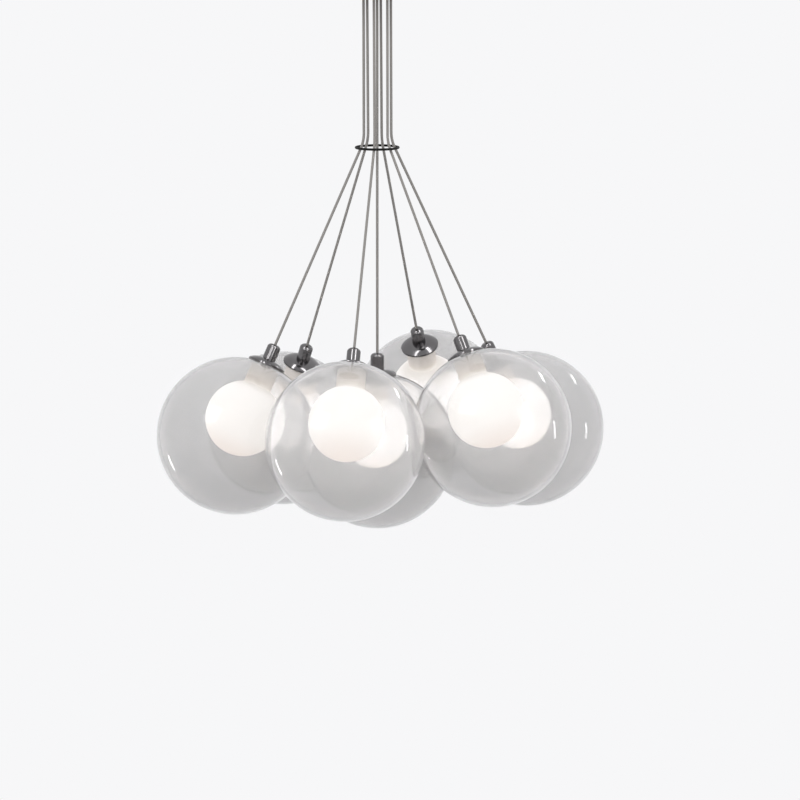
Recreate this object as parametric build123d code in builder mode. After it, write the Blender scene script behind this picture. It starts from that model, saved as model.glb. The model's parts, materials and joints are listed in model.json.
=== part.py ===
from build123d import *
import os
from math import atan, cos, degrees, pi, radians, sin, sqrt, tan

os.makedirs("parts", exist_ok=True)

# A cluster of seven glass globes, each hung on its own cord from one ceiling
# canopy. A wire ring gathers the cords, and below it they fan out to the lamps.
# Origin: centre of the bracket's face on the ceiling. +Z is up.
# All sizes are in millimetres and all angles in degrees.

# ---- Cords and ring ----
cord_d = 2.6
cord_bend_r = 13.0  # a cord's centre line where it turns at the ring
ring_drop = 205.0  # ceiling to the ring's plane
ring_wire_d = 2.3
ring_gap = 0.2  # between the ring's wire and the steepest cord
cord_circle_r = 17.2  # cords' centre lines where they cross the ring's plane
bundle_r = 14.0  # cords' centre lines where they start to turn out
hinge_drop = 3.0  # ring's plane to the point that a lamp swings about
hinge_gap = 0.03  # between the two stretches of a cord at that point

# ---- Glass ----
globe_r = 75.0
globe_wall = 2.0
globe_gap = 0.6  # least gap between two neighbouring globes
centre_drop = 292.5  # ring's plane to the centre globe's centre
ball_r = 36.0
ball_wall = 1.5
ball_rise = 18.0  # ball's centre above its globe's centre, along the lamp
neck_r = 14.0
neck_wall = 1.5
fuse_gap = 0.1  # where the ball's neck is fused into the globe's mouth

# ---- Cap and its spring collar ----
cap_r = 18.25
cap_rim_h = 1.5
cap_dome_h = 4.5
cap_wall = 1.0
cap_land_r = 7.0  # flat top that the stem stands on
seat_gap = 0.3  # between the cap's rim and the globe
collar_h = 11.0  # reach of the collar below the cap's rim
collar_wall = 0.8
collar_fit = 0.08  # running clearance in the glass neck
collar_slot_w = 1.2
collar_slot_h = 8.0

# ---- Stem ----
stem_r = 6.5
stem_h = 15.5
stem_round_w = 4.0
stem_round_h = 3.0
stem_fit = 0.08  # running clearance round the cord
stem_bush_h = 8.0  # length of the stem that guides the cord
chamber_r = 3.6
sleeve_r = 3.2  # crimped on the cord's end, it carries the lamp
sleeve_h = 5.0
sleeve_gap = 0.05
spigot_r = 4.9
spigot_h = 5.0  # reach below the cap's top
spigot_fit = 0.1

# ---- Lamp holder and bulb ----
holder_r = 8.2
holder_top_r = 6.6
holder_top_h = 3.0
holder_h = 16.0
pin_pitch = 4.0
pin_d = 0.7
pin_l = 6.0
pin_fit = 0.15
bulb_r = 6.2
bulb_l = 33.0
bulb_base_r = 4.8
bulb_base_h = 4.0

# ---- Canopy ----
canopy_r = 75.0
canopy_wall = 1.2
canopy_edge_r = 6.0
hole_circle_r = 13.5
first_hole = 16  # azimuth of the right-hand lamp's hole

# ---- Cord grips ----
grip_r = 5.2
grip_h = 13.0
grip_round = 2.0
grip_thread_r = 3.9
grip_thread_h = 7.0  # above the canopy's floor
grip_fit = 0.15  # thread in the canopy's hole
grip_bore_fit = 0.35  # room for the cord to lean in the grip
collet_h = 2.0  # top of the grip, which clamps the cord
collet_fit = 0.1
nut_flats = 10.0
nut_h = 4.0
nut_fit = 0.05
cord_tail = 3.0  # cord that stands above its grip

# ---- Ceiling bracket ----
strip_w = 20.0
strip_t = 2.0
ear_h = 16.0
ear_gap = 0.2
slot_spacing = 70.0
slot_w = 4.5
slot_l = 12.0
cradle_w = 16.0
cradle_t = 1.5
cradle_lip = 3.0
cradle_fit = 0.2

# ---- Driver, terminals and canopy screws ----
driver_w = 34.0
driver_l = 84.0
driver_h = 20.0
driver_edge_r = 2.0
terminal_w = 16.0
terminal_h = 12.0
terminal_gap = 5.0  # between a terminal block and the end of its canopy screw
supply_poles = 3
supply_pitch = 6.0
lamp_poles = 7
lamp_pitch = 4.6
lead_r = 0.6
lead_bore_r = 0.8
lead_bore_depth = 6.0
lead_reach = 5.0  # lead's end inside a driver or terminal bore
lead_z = 8.0  # below the ceiling, from the driver to the terminals
lead_gap = 2.5  # between the driver's cradle and the cords' leads
lead_rise = 4.0  # cords' ends to their leads' level run
lead_bend_r = 6.0
lead_tight_r = 3.6
port_x = 4.5
bore_spread = 3.0  # driver leads' bores, either side of a terminal's middle
lead_out = 10.0  # driver's end to its nearer lead's turn
lead_step = 6.0  # between the two leads
lead_back = 16.0  # their way back to the next turn
screw_r = 1.95
screw_hole_fit = 0.05
screw_z = 10.0  # below the ceiling
screw_head_r = 4.0
screw_head_h = 3.0
screw_l = 9.0
canopy_hole_fit = 0.25

# ---- Layout of the lamps ----
# place: azimuth from +X, distance from the centre globe and height above it.
# The last two are shares of the spacing at which two globes just touch, so a
# lamp with a distance of 1 leans on the centre globe. The other three are kept
# further out by the neighbours that they lean on.
lamps = {
    "centre": (0, 0.0, 0.0),
    "right": (16, 1.0, 0.102),
    "rear": (72, 1.14, 0.135),
    "rear_left": (128, 1.0, 0.03),
    "left": (205, 1.0, 0.157),
    "front": (260, 1.18, 0.228),
    "front_right": (315, 1.05, 0.252),
}
outer_places = [place for place in lamps if place != "centre"]

cord_r = cord_d / 2
ring_wire_r = ring_wire_d / 2
globe_spacing = 2 * globe_r + globe_gap
ring_centre = Vector(0, 0, -ring_drop)
cluster_centre = ring_centre - Vector(0, 0, centre_drop)


def outward(azimuth):
    return Vector(cos(radians(azimuth)), sin(radians(azimuth)), 0)


def globe_centre(place):
    azimuth, distance, height = lamps[place]
    lift = height * globe_spacing
    radius = sqrt((distance * globe_spacing) ** 2 - lift**2)
    return cluster_centre + outward(azimuth) * radius + Vector(0, 0, lift)


def ring_point(place):
    """Where the lamp's cord crosses the ring's plane."""
    if place == "centre":
        return ring_centre
    return ring_centre + outward(lamps[place][0]) * cord_circle_r


def lamp_up(place):
    return (ring_point(place) - globe_centre(place)).normalized()


def lamp_section(place):
    """Plane through a lamp's axis: X across the lamp, Y up its axis."""
    up = lamp_up(place)
    out = outward(lamps[place][0])
    across = (out - up * out.dot(up)).normalized()
    return Plane(globe_centre(place), x_dir=across, z_dir=across.cross(up))


def lamp_level(place, height):
    """Plane square to a lamp's axis, at a height above its globe's centre."""
    up = lamp_up(place)
    section = lamp_section(place)
    return Plane(section.origin + up * height, x_dir=section.x_dir, z_dir=up)


def lamp_axis(place):
    return Axis(globe_centre(place), lamp_up(place))


def save(piece, name):
    piece.part.label = name
    export_step(piece.part, f"parts/{name}.step")


# ---- Heights along a lamp, from its globe's centre ----
mouth_r = neck_r + fuse_gap
neck_bore_r = neck_r - neck_wall
ball_inner_r = ball_r - ball_wall
globe_inner_r = globe_r - globe_wall
mouth_top = sqrt(globe_r**2 - mouth_r**2)
cap_bottom = sqrt(globe_r**2 - cap_r**2) + seat_gap
cap_rim_top = cap_bottom + cap_rim_h
cap_top = cap_rim_top + cap_dome_h
cap_under = cap_top - cap_wall
stem_top = cap_top + stem_h
sleeve_top = stem_top - stem_bush_h - sleeve_gap
cord_end = sleeve_top - sleeve_h
spigot_bottom = cap_top - spigot_h
holder_bottom = cap_under - holder_h
collar_bottom = cap_bottom - collar_h
collar_r = neck_bore_r - collar_fit
bulb_bottom = holder_bottom - bulb_base_h - bulb_l

# ---- Heights at the ceiling, from the bracket down to the canopy's floor ----
cradle_bottom = -(strip_t + driver_h + cradle_fit + cradle_t)
lead_run_z = cradle_bottom - lead_gap - lead_r
cord_top = lead_run_z - lead_rise
grip_top = cord_top - cord_tail
canopy_floor = grip_top - grip_thread_h
canopy_h = canopy_wall - canopy_floor
terminal_x = canopy_r - screw_l - terminal_gap - terminal_w / 2
near_lead_y = driver_l / 2 + lead_out
strip_half = sqrt((canopy_r - canopy_wall) ** 2 - (strip_w / 2) ** 2) - ear_gap

# The ring's wire clears the cord that leans the most.
steepest = max(degrees(atan(sqrt(1 / lamp_up(place).Z ** 2 - 1))) for place in outer_places)
ring_r = cord_circle_r + (ring_wire_r + cord_r + ring_gap) / cos(radians(steepest))


# ---- Ceiling bracket: a strip with two ears, and a cradle for the driver ----
with BuildPart() as ceiling_bracket:
    with BuildSketch(Plane.XY.offset(-strip_t)):
        Rectangle(2 * strip_half, strip_w)
    extrude(amount=strip_t)
    with BuildSketch(Plane.XY.offset(-ear_h)):
        with Locations((strip_half - strip_t / 2, 0), (-strip_half + strip_t / 2, 0)):
            Rectangle(strip_t, strip_w)
    extrude(amount=ear_h)
    cradle_x = driver_w / 2 + cradle_fit
    with BuildSketch(Plane.XZ.offset(-cradle_w / 2)):
        for side in (1, -1):
            with BuildLine():
                Polyline(
                    (side * cradle_x, -strip_t / 2),
                    (side * (cradle_x + cradle_t), -strip_t / 2),
                    (side * (cradle_x + cradle_t), cradle_bottom),
                    (side * (cradle_x - cradle_lip), cradle_bottom),
                    (side * (cradle_x - cradle_lip), cradle_bottom + cradle_t),
                    (side * cradle_x, cradle_bottom + cradle_t),
                    close=True,
                )
            make_face()
    extrude(amount=cradle_w)
    with BuildSketch(Plane.XY.offset(-strip_t)):
        with Locations((slot_spacing / 2, 0), (-slot_spacing / 2, 0)):
            SlotOverall(slot_l, slot_w)
    extrude(amount=strip_t, mode=Mode.SUBTRACT)
    with BuildSketch(Plane.YZ.offset(-strip_half)):
        with Locations((0, -screw_z)):
            Circle(screw_r + screw_hole_fit)
    extrude(amount=2 * strip_half, mode=Mode.SUBTRACT)
save(ceiling_bracket, "ceiling_bracket")

# ---- Canopy: a spun cup that hides the bracket ----
with BuildPart() as canopy:
    inner_edge_r = canopy_edge_r - canopy_wall
    inner_r = canopy_r - canopy_wall
    with BuildSketch(Plane.XZ):
        with BuildLine():
            outer = Polyline((0, -canopy_h), (canopy_r - canopy_edge_r, -canopy_h))
            outer_corner = TangentArc(
                outer @ 1, (canopy_r, -canopy_h + canopy_edge_r), tangent=(1, 0)
            )
            inside = Polyline(
                outer_corner @ 1, (canopy_r, 0), (inner_r, 0), (inner_r, canopy_floor + inner_edge_r)
            )
            inner_corner = TangentArc(
                inside @ 1, (inner_r - inner_edge_r, canopy_floor), tangent=(0, -1)
            )
            Polyline(inner_corner @ 1, (0, canopy_floor), outer @ 0)
        make_face()
    revolve(axis=Axis.Z)
    with BuildSketch(Plane.XY.offset(-canopy_h)):
        with PolarLocations(hole_circle_r, len(outer_places), start_angle=first_hole):
            Circle(grip_thread_r + grip_fit)
        Circle(grip_thread_r + grip_fit)
    extrude(amount=canopy_wall, mode=Mode.SUBTRACT)
    with BuildSketch(Plane.YZ.offset(-canopy_r)):
        with Locations((0, -screw_z)):
            Circle(screw_r + canopy_hole_fit)
    extrude(amount=2 * canopy_r, mode=Mode.SUBTRACT)
save(canopy, "canopy")

# ---- Two thumb screws through the canopy into the bracket's ears ----
with BuildPart() as canopy_screws:
    for side in (1, -1):
        with BuildSketch(Plane((side * canopy_r, 0, -screw_z), x_dir=(0, 1, 0), z_dir=(side, 0, 0))):
            Circle(screw_head_r)
        extrude(amount=screw_head_h)
        with BuildSketch(Plane((side * canopy_r, 0, -screw_z), x_dir=(0, 1, 0), z_dir=(-side, 0, 0))):
            Circle(screw_r)
        extrude(amount=screw_l)
save(canopy_screws, "canopy_screws")

# ---- Driver: a potted block, long side across the bracket ----
with BuildPart() as driver:
    with BuildSketch(Plane.XY.offset(-strip_t - driver_h)):
        RectangleRounded(driver_w, driver_l, driver_edge_r)
    extrude(amount=driver_h)
    for side in (1, -1):
        end = (0, side * driver_l / 2, -lead_z)
        with BuildSketch(Plane(end, x_dir=(1, 0, 0), z_dir=(0, -side, 0))):
            with Locations((port_x, 0), (-port_x, 0)):
                Circle(lead_bore_r)
        extrude(amount=lead_bore_depth, mode=Mode.SUBTRACT)
save(driver, "driver")

# ---- Terminal blocks: supply on the left, lamps on the right ----
# Each has its poles' bores below and the driver's two leads in one end.
with BuildPart() as terminal_blocks:
    for side, poles, pitch in ((1, lamp_poles, lamp_pitch), (-1, supply_poles, supply_pitch)):
        underside = Plane((side * terminal_x, 0, -strip_t - terminal_h))
        with BuildSketch(underside):
            Rectangle(terminal_w, poles * pitch)
        extrude(amount=terminal_h)
        with BuildSketch(underside):
            with GridLocations(0, pitch, 1, poles):
                Circle(lead_bore_r)
        extrude(amount=lead_bore_depth, mode=Mode.SUBTRACT)
        end = (side * terminal_x, side * poles * pitch / 2, -lead_z)
        with BuildSketch(Plane(end, x_dir=(1, 0, 0), z_dir=(0, -side, 0))):
            with Locations((bore_spread, 0), (-bore_spread, 0)):
                Circle(lead_bore_r)
        extrude(amount=lead_bore_depth, mode=Mode.SUBTRACT)
save(terminal_blocks, "terminal_blocks")

# ---- Cord grips: one a cord, clamped through the canopy's floor ----
hole_places = [Vector(0, 0)]
for hole in range(len(outer_places)):
    hole_places.append(outward(first_hole + hole * 360 / len(outer_places)) * hole_circle_r)

with BuildPart() as cord_grips:
    for spot in hole_places:
        grip_section = Plane(spot, x_dir=(1, 0, 0), z_dir=(0, -1, 0))
        with BuildSketch(grip_section):
            with BuildLine():
                body = Polyline(
                    (cord_r + collet_fit, grip_top),
                    (cord_r + collet_fit, grip_top - collet_h),
                    (cord_r + grip_bore_fit, grip_top - collet_h),
                    (cord_r + grip_bore_fit, -canopy_h - grip_h),
                    (grip_r - grip_round, -canopy_h - grip_h),
                )
                rounded = TangentArc(
                    body @ 1, (grip_r, -canopy_h - grip_h + grip_round), tangent=(1, 0)
                )
                Polyline(
                    rounded @ 1,
                    (grip_r, -canopy_h),
                    (grip_thread_r, -canopy_h),
                    (grip_thread_r, grip_top),
                    body @ 0,
                )
            make_face()
        revolve(axis=Axis(spot, (0, 0, 1)))
save(cord_grips, "cord_grips")

with BuildPart() as grip_nuts:
    with BuildSketch(Plane.XY.offset(canopy_floor)):
        for spot in hole_places:
            with Locations(spot):
                RegularPolygon(nut_flats / 2, 6, major_radius=False)
                Circle(grip_thread_r + nut_fit, mode=Mode.SUBTRACT)
    extrude(amount=nut_h)
save(grip_nuts, "grip_nuts")

# ---- Leads inside the canopy ----
with BuildPart() as inner_leads:
    routes = []
    for side, poles, pitch in ((1, lamp_poles, lamp_pitch), (-1, supply_poles, supply_pitch)):
        bore_y = side * (poles * pitch / 2 - lead_reach)
        port_y = side * (driver_l / 2 - lead_reach)
        near_x = side * (terminal_x - bore_spread)
        far_x = side * (terminal_x + bore_spread)
        near_route = (
            (side * port_x, port_y, -lead_z),
            (side * port_x, side * near_lead_y, -lead_z),
            (near_x, side * (near_lead_y - lead_back), -lead_z),
            (near_x, bore_y, -lead_z),
        )
        far_route = (
            (-side * port_x, port_y, -lead_z),
            (-side * port_x, side * (near_lead_y + lead_step), -lead_z),
            (far_x, side * (near_lead_y + lead_step - lead_back), -lead_z),
            (far_x, bore_y, -lead_z),
        )
        routes.append((near_route, lead_bend_r))
        routes.append((far_route, lead_bend_r))
    for number, spot in enumerate(sorted(hole_places, key=lambda hole: hole.Y)):
        pole_y = (number - (lamp_poles - 1) / 2) * lamp_pitch
        cord_route = (
            (spot.X, spot.Y, cord_top),
            (spot.X, spot.Y, lead_run_z),
            (terminal_x, pole_y, lead_run_z),
            (terminal_x, pole_y, lead_reach - strip_t - terminal_h),
        )
        routes.append((cord_route, lead_tight_r))
    for points, bend_r in routes:
        with BuildLine():
            route = FilletPolyline(*points, radius=bend_r)
        with BuildSketch(Plane(route @ 0, z_dir=route % 0)):
            Circle(lead_r)
        sweep(path=route)
save(inner_leads, "inner_leads")

# ---- Upper cords: from the grips to the point that each lamp swings about ----
# A cord runs nearly plumb down to its turn above the ring, then leans out.
with BuildPart() as upper_cords:
    for number, place in enumerate(outer_places):
        up = lamp_up(place)
        crossing = ring_point(place)
        hinge_point = crossing - up * (hinge_drop / up.Z)
        lean_slope = sqrt(1 / up.Z**2 - 1)
        turn_height = (cord_circle_r - bundle_r) / lean_slope
        turn_point = crossing + up * (turn_height / up.Z)
        hole = hole_places[number + 1]
        lower_end = hinge_point + up * (cord_r + hinge_gap)
        with BuildLine():
            route = FilletPolyline(
                (hole.X, hole.Y, cord_top), turn_point, lower_end, radius=cord_bend_r
            )
        with BuildSketch(Plane(route @ 0, z_dir=route % 0)):
            Circle(cord_r)
        sweep(path=route)
        tube = upper_cords.part.solids()[number]
        turn = (route % 0).get_angle(route % 1)
        print(f"upper cord {place}: turn {turn:.1f} deg, radius {cord_bend_r} mm, length {route.length:.1f} mm")
        print(f"  volume / section x length = {tube.volume / (pi * cord_r**2 * route.length):.4f}")
save(upper_cords, "upper_cords")

# ---- Gathering ring ----
with BuildPart() as gathering_ring:
    with BuildSketch(Plane.XZ):
        with Locations((ring_r, -ring_drop)):
            Circle(ring_wire_r)
    revolve(axis=Axis.Z)
save(gathering_ring, "gathering_ring")

# ---- Centre cord: one straight run from its grip into the stem ----
with BuildPart() as cord_centre:
    with BuildSketch(Plane.XY.offset(cluster_centre.Z + cord_end)):
        Circle(cord_r)
    extrude(amount=cord_top - cluster_centre.Z - cord_end)
    with BuildSketch(Plane.XY.offset(cluster_centre.Z + cord_end)):
        Circle(sleeve_r)
    extrude(amount=sleeve_h)
save(cord_centre, "cord_centre")
print(f"centre cord: straight, length {cord_top - cluster_centre.Z - cord_end:.1f} mm")

for place in lamps:
    section = lamp_section(place)
    axis = lamp_axis(place)

    # Lower cord: a round end that the lamp swings about, and a crimped sleeve.
    if place != "centre":
        up = lamp_up(place)
        hinge_height = (ring_point(place) - globe_centre(place)).length - hinge_drop / up.Z
        with BuildPart() as cord:
            with BuildSketch(section):
                with BuildLine():
                    side = Polyline(
                        (0, cord_end),
                        (sleeve_r, cord_end),
                        (sleeve_r, sleeve_top),
                        (cord_r, sleeve_top),
                        (cord_r, hinge_height),
                    )
                    crown = TangentArc(side @ 1, (0, hinge_height + cord_r), tangent=(0, 1))
                    Line(crown @ 1, side @ 0)
                make_face()
            revolve(axis=axis)
        save(cord, f"cord_{place}")
        print(f"lower cord {place}: straight, length {hinge_height - cord_end:.1f} mm")

    # Stem: turned barrel on the cap, hollow, threaded into the holder.
    with BuildPart() as stem:
        with BuildSketch(section):
            with BuildLine():
                top = Line((cord_r + stem_fit, stem_top), (stem_r - stem_round_w, stem_top))
                shoulder = TangentArc(top @ 1, (stem_r, stem_top - stem_round_h), tangent=(1, 0))
                Polyline(
                    shoulder @ 1,
                    (stem_r, cap_top),
                    (spigot_r, cap_top),
                    (spigot_r, spigot_bottom),
                    (chamber_r, spigot_bottom),
                    (chamber_r, stem_top - stem_bush_h),
                    (cord_r + stem_fit, stem_top - stem_bush_h),
                    top @ 0,
                )
            make_face()
        revolve(axis=axis)
    save(stem, f"stem_{place}")

    # Cap: shallow dome with a plain rim and a slotted spring collar inside.
    with BuildPart() as cap:
        with BuildSketch(section):
            with BuildLine():
                land = Line((spigot_r + spigot_fit, cap_top), (cap_land_r, cap_top))
                dome = TangentArc(land @ 1, (cap_r, cap_rim_top), tangent=(1, 0))
                rim = Polyline(
                    dome @ 1,
                    (cap_r, cap_bottom),
                    (cap_r - cap_wall, cap_bottom),
                    (cap_r - cap_wall, cap_rim_top),
                )
                under = TangentArc(
                    (cap_land_r, cap_under), rim @ 1, tangent=(1, 0)
                )
                Polyline(under @ 0, (spigot_r + spigot_fit, cap_under), land @ 0)
            make_face()
            with BuildLine():
                Polyline(
                    (collar_r - collar_wall, collar_bottom),
                    (collar_r, collar_bottom),
                    (collar_r, cap_rim_top + cap_dome_h / 2 + cap_wall / 2),
                    (collar_r - collar_wall, cap_rim_top + cap_dome_h / 2 + cap_wall / 2),
                    close=True,
                )
            make_face()
        revolve(axis=axis)
        with BuildSketch(lamp_level(place, collar_bottom)):
            Rectangle(2 * neck_bore_r, collar_slot_w)
            Rectangle(collar_slot_w, 2 * neck_bore_r)
        extrude(amount=collar_slot_h, mode=Mode.SUBTRACT)
    save(cap, f"cap_{place}")

    # Holder: ceramic, screwed to the stem's spigot under the cap.
    with BuildPart() as holder:
        with BuildSketch(section):
            with BuildLine():
                Polyline(
                    (0, holder_bottom),
                    (holder_r, holder_bottom),
                    (holder_r, cap_under - holder_top_h),
                    (holder_top_r, cap_under - holder_top_h),
                    (holder_top_r, cap_under),
                    (spigot_r + spigot_fit, cap_under),
                    (spigot_r + spigot_fit, spigot_bottom - spigot_fit),
                    (0, spigot_bottom - spigot_fit),
                    close=True,
                )
            make_face()
        revolve(axis=axis)
        with BuildSketch(lamp_level(place, holder_bottom)):
            with GridLocations(pin_pitch, 0, 2, 1):
                Circle(pin_d / 2 + pin_fit)
        extrude(amount=pin_l + pin_fit, mode=Mode.SUBTRACT)
    save(holder, f"holder_{place}")

    # Bulb: bi-pin capsule, its light at the middle of the ball.
    with BuildPart() as bulb:
        with BuildSketch(section):
            with BuildLine():
                neck = Polyline(
                    (0, holder_bottom),
                    (bulb_base_r, holder_bottom),
                    (bulb_base_r, holder_bottom - bulb_base_h),
                    (bulb_r, holder_bottom - bulb_base_h),
                    (bulb_r, bulb_bottom + bulb_r),
                )
                tip = TangentArc(neck @ 1, (0, bulb_bottom), tangent=(0, -1))
                Line(tip @ 1, neck @ 0)
            make_face()
        revolve(axis=axis)
        with BuildSketch(lamp_level(place, holder_bottom)):
            with GridLocations(pin_pitch, 0, 2, 1):
                Circle(pin_d / 2)
        extrude(amount=pin_l)
    save(bulb, f"bulb_{place}")

    # Diffuser: frosted ball with a straight neck that takes the collar.
    with BuildPart() as diffuser:
        ball_bottom = ball_rise - ball_r
        neck_foot = ball_rise + sqrt(ball_r**2 - neck_r**2)
        bore_foot = ball_rise + sqrt(ball_inner_r**2 - neck_bore_r**2)
        with BuildSketch(section):
            with BuildLine():
                ThreePointArc((0, ball_bottom), (ball_r, ball_rise), (neck_r, neck_foot))
                Polyline(
                    (neck_r, neck_foot),
                    (neck_r, mouth_top),
                    (neck_bore_r, mouth_top),
                    (neck_bore_r, bore_foot),
                )
                ThreePointArc(
                    (neck_bore_r, bore_foot), (ball_inner_r, ball_rise), (0, ball_bottom + ball_wall)
                )
                Line((0, ball_bottom + ball_wall), (0, ball_bottom))
            make_face()
        revolve(axis=axis)
    save(diffuser, f"diffuser_{place}")

    # Globe: clear blown glass, its mouth fused round the diffuser's neck.
    with BuildPart() as globe:
        with BuildSketch(section):
            with BuildLine():
                ThreePointArc((0, -globe_r), (globe_r, 0), (mouth_r, mouth_top))
                Line((mouth_r, mouth_top), (mouth_r, sqrt(globe_inner_r**2 - mouth_r**2)))
                ThreePointArc(
                    (mouth_r, sqrt(globe_inner_r**2 - mouth_r**2)),
                    (globe_inner_r, 0),
                    (0, -globe_inner_r),
                )
                Line((0, -globe_inner_r), (0, -globe_r))
            make_face()
        revolve(axis=axis)
    save(globe, f"globe_{place}")

# The globes' least spacing, as a check on the layout.
places = list(lamps)
for first, place in enumerate(places):
    for other in places[first + 1 :]:
        spacing = (globe_centre(place) - globe_centre(other)).length
        if spacing < 1.03 * globe_spacing:
            print(f"globes {place} - {other}: gap {spacing - 2 * globe_r:.2f} mm")
print(f"ring outside diameter {2 * (ring_r + ring_wire_r):.1f} mm")
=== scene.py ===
import json
from math import cos, radians, sin, sqrt

import bpy
from mathutils import Matrix, Vector


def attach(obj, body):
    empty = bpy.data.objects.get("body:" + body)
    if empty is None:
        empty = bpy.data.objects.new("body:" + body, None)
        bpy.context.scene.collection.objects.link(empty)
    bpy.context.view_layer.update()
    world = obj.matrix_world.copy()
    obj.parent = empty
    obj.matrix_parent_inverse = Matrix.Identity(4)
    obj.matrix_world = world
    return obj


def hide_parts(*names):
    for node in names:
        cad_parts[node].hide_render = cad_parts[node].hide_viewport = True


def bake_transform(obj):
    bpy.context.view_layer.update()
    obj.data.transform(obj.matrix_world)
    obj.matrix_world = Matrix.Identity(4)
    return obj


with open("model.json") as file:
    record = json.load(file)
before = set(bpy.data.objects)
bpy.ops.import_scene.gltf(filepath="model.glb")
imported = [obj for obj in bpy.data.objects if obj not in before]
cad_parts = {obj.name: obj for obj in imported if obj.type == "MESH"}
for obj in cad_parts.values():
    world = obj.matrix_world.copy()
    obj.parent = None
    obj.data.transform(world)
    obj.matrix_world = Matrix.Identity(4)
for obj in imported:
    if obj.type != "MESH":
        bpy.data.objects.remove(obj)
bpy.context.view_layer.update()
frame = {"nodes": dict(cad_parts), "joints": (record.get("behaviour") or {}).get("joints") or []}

# A cluster of seven glass globes on cords. Everything is in metres, in the
# model's own frame: the ceiling is at z = 0 and +Z is up.

PLACES = ("left", "rear_left", "front", "centre", "rear", "front_right", "right")
joints = {joint["name"]: joint for joint in frame["joints"]}

# ---- Sizes, as in the solids ----
GLOBE_R = 0.075
GLOBE_WALL = 0.002
BALL_R = 0.036
BALL_WALL = 0.0015
BALL_RISE = 0.018  # a ball's centre above its globe's centre
NECK_R = 0.014
NECK_FILLET = 0.0025
FUSE_GAP = 0.0001  # between a neck and its globe's mouth
MOUTH_Z = sqrt(GLOBE_R**2 - (NECK_R + FUSE_GAP) ** 2)  # the mouth above the globe's centre
STEM_TOP = 0.09455  # a stem's top above its globe's centre
CORD_R = 0.0013
CORD_TOP = -0.0308  # the cords' ends inside the canopy
CORD_IN_STEM = 0.008
HOLE_CIRCLE_R = 0.0135  # circle of the outer cords' holes in the canopy
FIRST_HOLE = 16  # degrees round from +X
CORD_HOLES = ("right", "rear", "rear_left", "left", "front", "front_right")
BUNDLE_R = 0.014  # how far from the middle the outer cords bend
STRAIGHT_STEP = 12 * CORD_R  # from the bend to the next point of the line

# ---- Fineness of the meshes ----
SMOOTH_ANGLE = radians(40)
SAME_HEIGHT = 1e-5


# ---- Small helpers for modelling ----
def clear_selection():
    bpy.ops.object.select_all(action="DESELECT")


def make_active(piece):
    clear_selection()
    piece.select_set(True)
    bpy.context.view_layer.objects.active = piece


def add_to_scene(thing):
    bpy.context.scene.collection.objects.link(thing)


def coat(piece, material):
    """Gives a piece one material, in place of any that it has."""
    piece.data.materials.clear()
    piece.data.materials.append(material)


def select_edges(piece, test):
    """Selects the edges whose two ends pass the test, and stays in edit mode."""
    bpy.ops.object.mode_set(mode="EDIT")
    bpy.ops.mesh.select_mode(type="EDGE")
    bpy.ops.mesh.select_all(action="DESELECT")
    bpy.ops.object.mode_set(mode="OBJECT")
    mesh = piece.data
    for edge in mesh.edges:
        edge.select = all(test(mesh.vertices[i].co) for i in edge.vertices)
    bpy.ops.object.mode_set(mode="EDIT")


def thicken_inward(piece, wall):
    """Makes a shell of a surface, and smooths all but its sharp edges."""
    shell = piece.modifiers.new("wall", "SOLIDIFY")
    shell.thickness = wall
    shell.offset = -1
    bpy.ops.object.modifier_apply(modifier=shell.name)
    bpy.ops.object.shade_smooth_by_angle(angle=SMOOTH_ANGLE)


def joint_point(name):
    return Vector(joints[name]["pos_m"])


def lamp_up(place):
    """The direction from a lamp up along its cord."""
    return Vector(joints[f"twist_{place}"]["axis"]).normalized()


def lamp_matrix(place):
    """Turns a piece made upright at the origin into its place in a lamp."""
    up = lamp_up(place)
    centre = joint_point(f"twist_{place}") - up * STEM_TOP
    return Matrix.Translation(centre) @ up.to_track_quat("Z", "Y").to_matrix().to_4x4()


def place_copies(master, kind, body, material):
    """Puts a copy of a lamp's piece in each lamp, in place of the plain one."""
    for place in PLACES:
        piece = master.copy()
        piece.data = master.data.copy()
        piece.name = f"{kind}_{place}_glass"
        add_to_scene(piece)
        piece.data.transform(lamp_matrix(place))
        coat(piece, material)
        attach(piece, f"{body}_{place}")
        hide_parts(f"{kind}_{place}")
    bpy.data.objects.remove(master)


# ---- Shader node helpers ----
def new_material(name):
    material = bpy.data.materials.new(name)
    material.use_nodes = True
    nodes = material.node_tree.nodes
    nodes.clear()
    shader = nodes.new("ShaderNodeBsdfPrincipled")
    output = nodes.new("ShaderNodeOutputMaterial")
    material.node_tree.links.new(shader.outputs["BSDF"], output.inputs["Surface"])
    return material, shader


def link(material, source, target):
    material.node_tree.links.new(source, target)


def reckon(tree, operation, *values):
    """The result of a maths node, whose inputs are sockets or numbers."""
    node = tree.nodes.new("ShaderNodeMath")
    node.operation = operation
    for socket, value in zip(node.inputs, values):
        if isinstance(value, (int, float)):
            socket.default_value = value
        else:
            tree.links.new(value, socket)
    return node.outputs[0]


def scaled(tree, color, factor):
    """A colour times a factor, both of them sockets."""
    node = tree.nodes.new("ShaderNodeVectorMath")
    node.operation = "SCALE"
    tree.links.new(color, node.inputs[0])
    tree.links.new(factor, node.inputs["Scale"])
    return node.outputs[0]


def mixed(tree, factor, first, second):
    """The first shader where the factor is 0, and the second where it is 1."""
    node = tree.nodes.new("ShaderNodeMixShader")
    tree.links.new(factor, node.inputs["Fac"])
    tree.links.new(first, node.inputs[1])
    tree.links.new(second, node.inputs[2])
    return node.outputs[0]


NOISE_MIDDLE = 0.5
NOISE_SWING = 0.2  # most of the noise lies this near its middle
GRAIN_DEPTH = 0.0002  # metres from the grain's lowest to its highest


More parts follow.
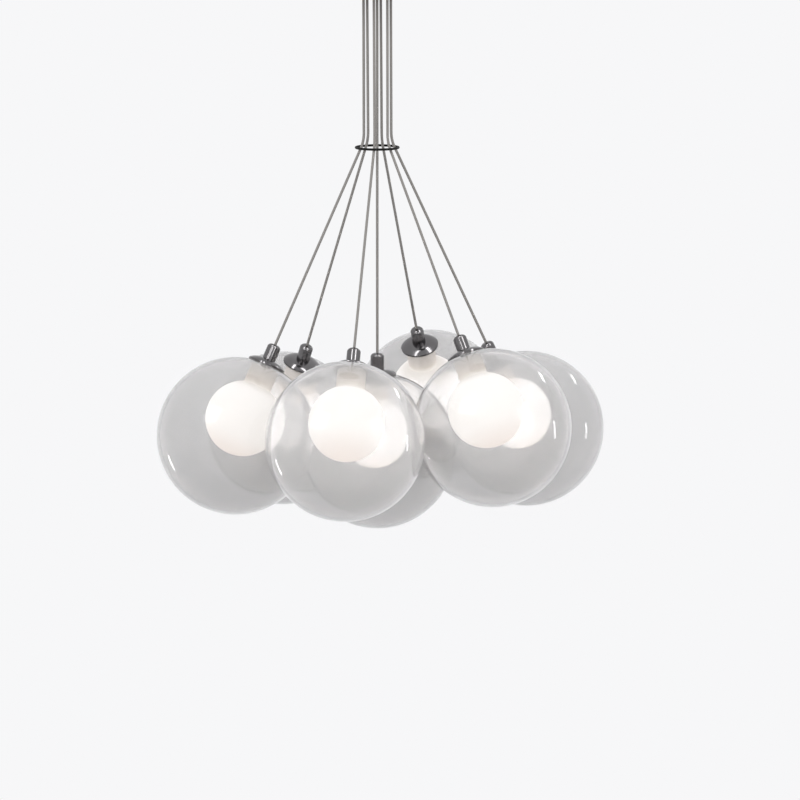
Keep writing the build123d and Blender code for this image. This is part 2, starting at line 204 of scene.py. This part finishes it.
def grain_group():
    """Uneven tone and gloss, and a fine height, from noise on the piece."""
    group = bpy.data.node_groups.new("surface_grain", "ShaderNodeTree")
    face = group.interface
    face.new_socket("Color", in_out="INPUT", socket_type="NodeSocketColor")
    for name in ("Scale", "Tone", "Roughness low", "Roughness high"):
        face.new_socket(name, in_out="INPUT", socket_type="NodeSocketFloat")
    face.new_socket("Color", in_out="OUTPUT", socket_type="NodeSocketColor")
    for name in ("Roughness", "Height"):
        face.new_socket(name, in_out="OUTPUT", socket_type="NodeSocketFloat")
    nodes = group.nodes
    links = group.links
    given = nodes.new("NodeGroupInput")
    result = nodes.new("NodeGroupOutput")
    place = nodes.new("ShaderNodeTexCoord")
    noise = nodes.new("ShaderNodeTexNoise")
    noise.inputs["Detail"].default_value = 5.0
    links.new(place.outputs["Object"], noise.inputs["Vector"])
    links.new(given.outputs["Scale"], noise.inputs["Scale"])
    centred = reckon(group, "SUBTRACT", noise.outputs["Fac"], NOISE_MIDDLE)
    spread = reckon(group, "MULTIPLY_ADD", centred, given.outputs["Tone"], 1.0)
    links.new(scaled(group, given.outputs["Color"], spread), result.inputs["Color"])
    gloss = nodes.new("ShaderNodeMapRange")
    gloss.inputs["From Min"].default_value = NOISE_MIDDLE - NOISE_SWING
    gloss.inputs["From Max"].default_value = NOISE_MIDDLE + NOISE_SWING
    links.new(noise.outputs["Fac"], gloss.inputs["Value"])
    links.new(given.outputs["Roughness low"], gloss.inputs["To Min"])
    links.new(given.outputs["Roughness high"], gloss.inputs["To Max"])
    links.new(gloss.outputs["Result"], result.inputs["Roughness"])
    links.new(noise.outputs["Fac"], result.inputs["Height"])
    return group


GRAIN = grain_group()


def grained(name, color, scale, tone, roughness, bump, metallic=0.0):
    """A material with that grain, and the shader in it.

    The roughness is a pair, the least and the most. The tone is how far the
    colour varies, and the bump is the strength of the relief.
    """
    material, shader = new_material(name)
    nodes = material.node_tree.nodes
    grain = nodes.new("ShaderNodeGroup")
    grain.node_tree = GRAIN
    grain.inputs["Color"].default_value = (*color, 1)
    grain.inputs["Scale"].default_value = scale
    grain.inputs["Tone"].default_value = tone
    grain.inputs["Roughness low"].default_value = roughness[0]
    grain.inputs["Roughness high"].default_value = roughness[1]
    link(material, grain.outputs["Color"], shader.inputs["Base Color"])
    link(material, grain.outputs["Roughness"], shader.inputs["Roughness"])
    relief = nodes.new("ShaderNodeBump")
    relief.inputs["Strength"].default_value = bump
    relief.inputs["Distance"].default_value = GRAIN_DEPTH
    link(material, grain.outputs["Height"], relief.inputs["Height"])
    link(material, relief.outputs["Normal"], shader.inputs["Normal"])
    shader.inputs["Metallic"].default_value = metallic
    return material, shader


# ---- Materials ----
GLASS_PASSES = 0.655  # share of the light that one face of a globe lets through
GLOW_ON_GLASS = 3.0  # how much brighter the balls light the rest than they look
# The ramp is painted glow standing in for the bulb's light through the ball, with painted shade
# darkening its neck.
BALL_GLOW = (  # by height, from a ball's foot to the top of its neck
    (0.0, (0.5, 0.42, 0.37, 1)),
    (0.2, (0.56, 0.53, 0.5, 1)),
    (0.68, (0.56, 0.54, 0.52, 1)),
    (0.8, (0.19, 0.15, 0.115, 1)),
    (1.0, (0.05, 0.04, 0.03, 1)),
)


def globe_glass():
    """Clear grey glass with a faint haze, and a slight waviness from blowing."""
    material, shader = new_material("globe_glass")
    nodes = material.node_tree.nodes
    shader.inputs["Base Color"].default_value = (0.735, 0.735, 0.74, 1)
    shader.inputs["Roughness"].default_value = 0.0
    shader.inputs["IOR"].default_value = 1.45
    shader.inputs["Transmission Weight"].default_value = 0.77
    place = nodes.new("ShaderNodeTexCoord")
    waves = nodes.new("ShaderNodeTexNoise")
    waves.inputs["Scale"].default_value = 14.0
    waves.inputs["Detail"].default_value = 1.0
    link(material, place.outputs["Object"], waves.inputs["Vector"])
    relief = nodes.new("ShaderNodeBump")
    relief.inputs["Strength"].default_value = 0.15
    relief.inputs["Distance"].default_value = 0.01
    link(material, waves.outputs["Fac"], relief.inputs["Height"])
    link(material, relief.outputs["Normal"], shader.inputs["Normal"])
    return material


def frosted_glass_painted_glow():
    """White frosted glass lit from inside, as a painted glow: cream at its foot, and tan in its
    neck, where painted shade darkens it.

    Its glow is as bright through several globes as through one, and lights the
    glass round it more than it shows.
    """
    material, shader = new_material("frosted_ball_painted_glow")
    tree = material.node_tree
    shader.inputs["Base Color"].default_value = (0.6, 0.585, 0.56, 1)
    shader.inputs["Roughness"].default_value = 0.8
    shader.inputs["Emission Strength"].default_value = 1.0
    along = tree.nodes.new("ShaderNodeUVMap")
    split = tree.nodes.new("ShaderNodeSeparateXYZ")
    link(material, along.outputs["UV"], split.inputs["Vector"])
    # Painted glow by height along the ball, from cream at the foot to painted shade in the neck.
    glow = tree.nodes.new("ShaderNodeValToRGB")
    stops = glow.color_ramp.elements
    stops[0].position, stops[0].color = BALL_GLOW[0]
    stops[1].position, stops[1].color = BALL_GLOW[-1]
    for position, color in BALL_GLOW[1:-1]:
        stops.new(position).color = color
    link(material, split.outputs["Y"], glow.inputs["Fac"])
    # The painted glow is raised for each face of glass a ray has passed, and more for diffuse
    # rays, so it lights the glass round it.
    ray = tree.nodes.new("ShaderNodeLightPath")
    regained = reckon(tree, "POWER", 1 / GLASS_PASSES, ray.outputs["Transmission Depth"])
    lighting = reckon(tree, "MULTIPLY_ADD", ray.outputs["Is Diffuse Ray"], GLOW_ON_GLASS - 1, 1)
    strength = reckon(tree, "MULTIPLY", regained, lighting)
    shown = scaled(tree, glow.outputs["Color"], strength)
    link(material, shown, shader.inputs["Emission Color"])
    return material


def bulb_glow():
    """A bulb's hot capsule, as warm white as its ball."""
    material, shader = grained("bulb_capsule", (0.95, 0.93, 0.88), 300, 0.05, (0.15, 0.3), 0.1)
    shader.inputs["Emission Color"].default_value = (1.0, 0.86, 0.68, 1)
    shader.inputs["Emission Strength"].default_value = 4.0
    return material


dark_chrome = grained("dark_chrome", (0.15, 0.145, 0.148), 90, 0.25, (0.12, 0.2), 0.05, 1.0)[0]
black_wire, wire_shader = grained("black_wire", (0.006, 0.006, 0.006), 400, 0.3, (0.5, 0.65), 0.2)
wire_shader.inputs["Specular IOR Level"].default_value = 0.15
cord_sheath = grained("cord_sheath", (0.24, 0.228, 0.217), 900, 0.5, (0.4, 0.6), 0.5)[0]
zinc_sheet = grained("zinc_sheet", (0.6, 0.6, 0.6), 160, 0.2, (0.3, 0.45), 0.2, 1.0)[0]
driver_case = grained("driver_case", (0.78, 0.78, 0.76), 500, 0.06, (0.45, 0.6), 0.3)[0]
terminal_plastic = grained("terminal_plastic", (0.85, 0.83, 0.77), 500, 0.06, (0.35, 0.5), 0.2)[0]
lead_sleeve = grained("lead_sleeve", (0.2, 0.15, 0.12), 500, 0.2, (0.35, 0.5), 0.2)[0]
holder_ceramic = grained("holder_ceramic", (0.85, 0.84, 0.8), 300, 0.06, (0.25, 0.4), 0.15)[0]
clear_globe = globe_glass()
lit_ball = frosted_glass_painted_glow()
lit_bulb = bulb_glow()

FINISHES = {
    "canopy": dark_chrome,
    "canopy_screws": dark_chrome,
    "cord_grips": dark_chrome,
    "grip_nuts": dark_chrome,
    "ceiling_bracket": zinc_sheet,
    "driver": driver_case,
    "terminal_blocks": terminal_plastic,
    "inner_leads": lead_sleeve,
    "gathering_ring": black_wire,
}
LAMP_FINISHES = {
    "stem": dark_chrome,
    "cap": dark_chrome,
    "holder": holder_ceramic,
    "bulb": lit_bulb,
}
for node, material in FINISHES.items():
    coat(frame["nodes"][node], material)
for place in PLACES:
    for kind, material in LAMP_FINISHES.items():
        coat(frame["nodes"][f"{kind}_{place}"], material)


# ---- Globes ----
def make_globe():
    """A blown shell with its mouth cut at the top."""
    clear_selection()
    bpy.ops.mesh.primitive_uv_sphere_add(segments=96, ring_count=64, radius=GLOBE_R)
    piece = bpy.context.object
    bpy.ops.object.mode_set(mode="EDIT")
    bpy.ops.mesh.select_all(action="SELECT")
    bpy.ops.mesh.bisect(plane_co=(0, 0, MOUTH_Z), plane_no=(0, 0, 1), clear_outer=True)
    bpy.ops.object.mode_set(mode="OBJECT")
    thicken_inward(piece, GLOBE_WALL)
    return piece


place_copies(make_globe(), "globe", "glass", clear_globe)


# ---- Frosted balls ----
def make_ball():
    """A ball drawn up into a straight neck, with a soft turn between them."""
    clear_selection()
    neck_foot = BALL_RISE + sqrt(BALL_R**2 - NECK_R**2)
    bpy.ops.mesh.primitive_uv_sphere_add(
        segments=64, ring_count=48, radius=BALL_R, location=(0, 0, BALL_RISE)
    )
    piece = bpy.context.object
    bpy.ops.object.transform_apply(location=True)
    bpy.ops.object.mode_set(mode="EDIT")
    bpy.ops.mesh.select_all(action="SELECT")
    bpy.ops.mesh.bisect(plane_co=(0, 0, neck_foot), plane_no=(0, 0, 1), clear_outer=True)
    select_edges(piece, lambda co: co.z > neck_foot - SAME_HEIGHT)
    bpy.ops.mesh.extrude_region_move(
        TRANSFORM_OT_translate={"value": (0, 0, MOUTH_Z - neck_foot)}
    )
    select_edges(piece, lambda co: abs(co.z - neck_foot) < SAME_HEIGHT)
    bpy.ops.mesh.bevel(offset=NECK_FILLET, segments=4)
    bpy.ops.object.mode_set(mode="OBJECT")
    foot = BALL_RISE - BALL_R
    along = piece.data.uv_layers.active.data
    for corner in piece.data.loops:
        height = piece.data.vertices[corner.vertex_index].co.z
        along[corner.index].uv = (0.5, (height - foot) / (MOUTH_Z - foot))
    thicken_inward(piece, BALL_WALL)
    return piece


place_copies(make_ball(), "diffuser", "glass", lit_ball)


# ---- Cords ----
def cord_route(place):
    """The cord's points from its end in the canopy to its end in the stem."""
    up = lamp_up(place)
    end = joint_point(f"twist_{place}") - up * CORD_IN_STEM
    if place == "centre":
        top = Vector((0, 0, CORD_TOP))
        return [top, (top + end) / 2, end]
    azimuth = radians(FIRST_HOLE + 360 / len(CORD_HOLES) * CORD_HOLES.index(place))
    hole = Vector((HOLE_CIRCLE_R * cos(azimuth), HOLE_CIRCLE_R * sin(azimuth), CORD_TOP))
    hinge = joint_point(f"swing_{place}")
    lean = Vector((up.x, up.y)).length
    turn = hinge + up * ((Vector((hinge.x, hinge.y)).length - BUNDLE_R) / lean)
    upper = (hole - turn).normalized()
    return [hole, turn + upper * STRAIGHT_STEP, turn, turn - up * STRAIGHT_STEP, end]


def cord_mesh(place, points):
    """A round cord along a smooth line by the points, and that line itself."""
    curve = bpy.data.curves.new(f"cord_{place}_line", "CURVE")
    curve.dimensions = "3D"
    spline = curve.splines.new("NURBS")
    spline.points.add(len(points) - 1)
    for knot, point in zip(spline.points, points):
        knot.co = (*point, 1)
    spline.order_u = 3
    spline.use_endpoint_u = True
    spline.resolution_u = 16
    piece = bpy.data.objects.new(f"cord_{place}_run", curve)
    add_to_scene(piece)
    bpy.context.view_layer.update()
    line = bpy.data.meshes.new_from_object(piece)
    path = [vertex.co.copy() for vertex in line.vertices]
    bpy.data.meshes.remove(line)
    curve.bevel_depth = CORD_R
    curve.bevel_resolution = 3
    curve.use_fill_caps = True
    make_active(piece)
    bpy.ops.object.convert(target="MESH")
    bpy.ops.object.shade_smooth_by_angle(angle=SMOOTH_ANGLE)
    return bpy.context.object, path


def make_cord(place):
    """A cord from the canopy to its lamp. All but the centre one bend at the ring."""
    points = cord_route(place)
    piece, path = cord_mesh(place, points)
    coat(piece, cord_sheath)
    if place == "centre":
        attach(piece, "ceiling_mount")
        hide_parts("cord_centre")
    else:
        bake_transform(piece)
        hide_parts(f"cord_{place}", "upper_cords")


for place in PLACES:
    make_cord(place)


# ---- Floor, light and camera ----
BACKGROUND = (0.93, 0.93, 0.94, 1)
FLOOR_Z = -2.4
FLOOR_SIZE = 120
CLUSTER = Vector((0, 0, -0.495))  # the middle of the globes
CAMERA_ELEVATION = radians(8.56)
CAMERA_DISTANCE = 6.0
LENS = 280.8
# How far to the right of the cluster and above it the camera aims.
AIM_RIGHT = 0.0218
AIM_UP = 0.0459


def white_where_seen(tree, shaded, tint):
    """Mixes in the plain background colour for rays that show the surface."""
    ray = tree.nodes.new("ShaderNodeLightPath").outputs
    showing = reckon(tree, "MAXIMUM", ray["Is Camera Ray"], ray["Is Glossy Ray"])
    showing = reckon(tree, "MAXIMUM", showing, ray["Is Transmission Ray"])
    return mixed(tree, showing, shaded, tint)


def make_world():
    """Soft white light from all sides, in front of the plain background colour."""
    world = bpy.data.worlds.new("studio")
    bpy.context.scene.world = world
    world.use_nodes = True
    tree = world.node_tree
    tree.nodes.clear()
    soft = tree.nodes.new("ShaderNodeBackground")
    soft.inputs["Color"].default_value = (1, 1, 1, 1)
    soft.inputs["Strength"].default_value = 0.55
    plain = tree.nodes.new("ShaderNodeBackground")
    plain.inputs["Color"].default_value = BACKGROUND
    output = tree.nodes.new("ShaderNodeOutputWorld")
    shown = white_where_seen(tree, soft.outputs[0], plain.outputs[0])
    tree.links.new(shown, output.inputs["Surface"])


def make_floor():
    """A wide pale floor, seen only from above."""
    clear_selection()
    bpy.ops.mesh.primitive_plane_add(size=FLOOR_SIZE, location=(0, 0, FLOOR_Z))
    floor = bpy.context.object
    floor.name = "floor"
    material = bpy.data.materials.new("floor")
    material.use_nodes = True
    tree = material.node_tree
    tree.nodes.clear()
    matt = tree.nodes.new("ShaderNodeBsdfDiffuse")
    matt.inputs["Color"].default_value = BACKGROUND
    plain = tree.nodes.new("ShaderNodeEmission")
    plain.inputs["Color"].default_value = BACKGROUND
    shown = white_where_seen(tree, matt.outputs[0], plain.outputs[0])
    clear = tree.nodes.new("ShaderNodeBsdfTransparent")
    side = tree.nodes.new("ShaderNodeNewGeometry")
    both = mixed(tree, side.outputs["Backfacing"], shown, clear.outputs[0])
    output = tree.nodes.new("ShaderNodeOutputMaterial")
    tree.links.new(both, output.inputs["Surface"])
    floor.data.materials.append(material)


def facing(place, aim):
    """The turn of a light or camera that looks from a place to an aim."""
    return (Vector(aim) - Vector(place)).to_track_quat("-Z", "Y").to_euler()


def add_light(name, place, size, watts, mirrored=True):
    """An area light that faces the cluster, width by height in size.

    A mirrored one shows in gloss but not through the glass. The others light
    through the glass too, and leave no bright patch on gloss.
    """
    lamp = bpy.data.lights.new(name, "AREA")
    lamp.shape = "RECTANGLE"
    lamp.size, lamp.size_y = size
    lamp.energy = watts
    light = bpy.data.objects.new(name, lamp)
    add_to_scene(light)
    light.location = place
    light.rotation_euler = facing(place, CLUSTER)
    light.visible_glossy = mirrored
    light.visible_transmission = not mirrored
    return light


def make_camera():
    """A far camera with a long lens, a little above the globes."""
    camera = bpy.data.objects.new("camera", bpy.data.cameras.new("camera"))
    add_to_scene(camera)
    camera.data.lens = LENS
    camera.data.sensor_width = 36
    camera.data.clip_end = 200
    back = Vector((0, -cos(CAMERA_ELEVATION), sin(CAMERA_ELEVATION)))
    above = Vector((0, sin(CAMERA_ELEVATION), cos(CAMERA_ELEVATION)))
    camera.location = CLUSTER + back * CAMERA_DISTANCE
    aim = CLUSTER + Vector((AIM_RIGHT, 0, 0)) + above * AIM_UP
    camera.rotation_euler = facing(camera.location, aim)
    bpy.context.scene.camera = camera


make_world()
make_floor()
add_light("key", (-1.6, -1.8, 1.2), (1.2, 1.2), 46, mirrored=False)
add_light("fill", (2.0, -1.6, 0.3), (1.0, 1.6), 26, mirrored=False)
# Narrow strips, which the globes mirror near their rims.
add_light("right_strip", (2.4, 0.3, -0.6), (0.16, 0.6), 2.5)
add_light("high_right_strip", (1.6, 1.4, 0.8), (0.5, 0.16), 2)
add_light("low_left_strip", (-2.05, 1.1, -1.45), (0.16, 0.5), 2)

# Long soft boxes round the front, which only the metal mirrors, as stripes.
BOX_LENGTH = 2.6
metal = bpy.data.collections.new("metal")
for place in PLACES:
    metal.objects.link(frame["nodes"][f"stem_{place}"])
    metal.objects.link(frame["nodes"][f"cap_{place}"])
for side, across, width, watts in (("left", -0.7, 0.25, 22), ("right", 1.1, 0.35, 30)):
    for level, out, height in (("front", -2.4, -0.4), ("top", -1.0, 1.3), ("bottom", -1.0, -2.2)):
        name = f"{level}_{side}_box"
        light = add_light(name, (across, out, height), (width, BOX_LENGTH), watts)
        light.light_linking.receiver_collection = metal
make_camera()
bpy.context.scene.view_settings.view_transform = "Standard"
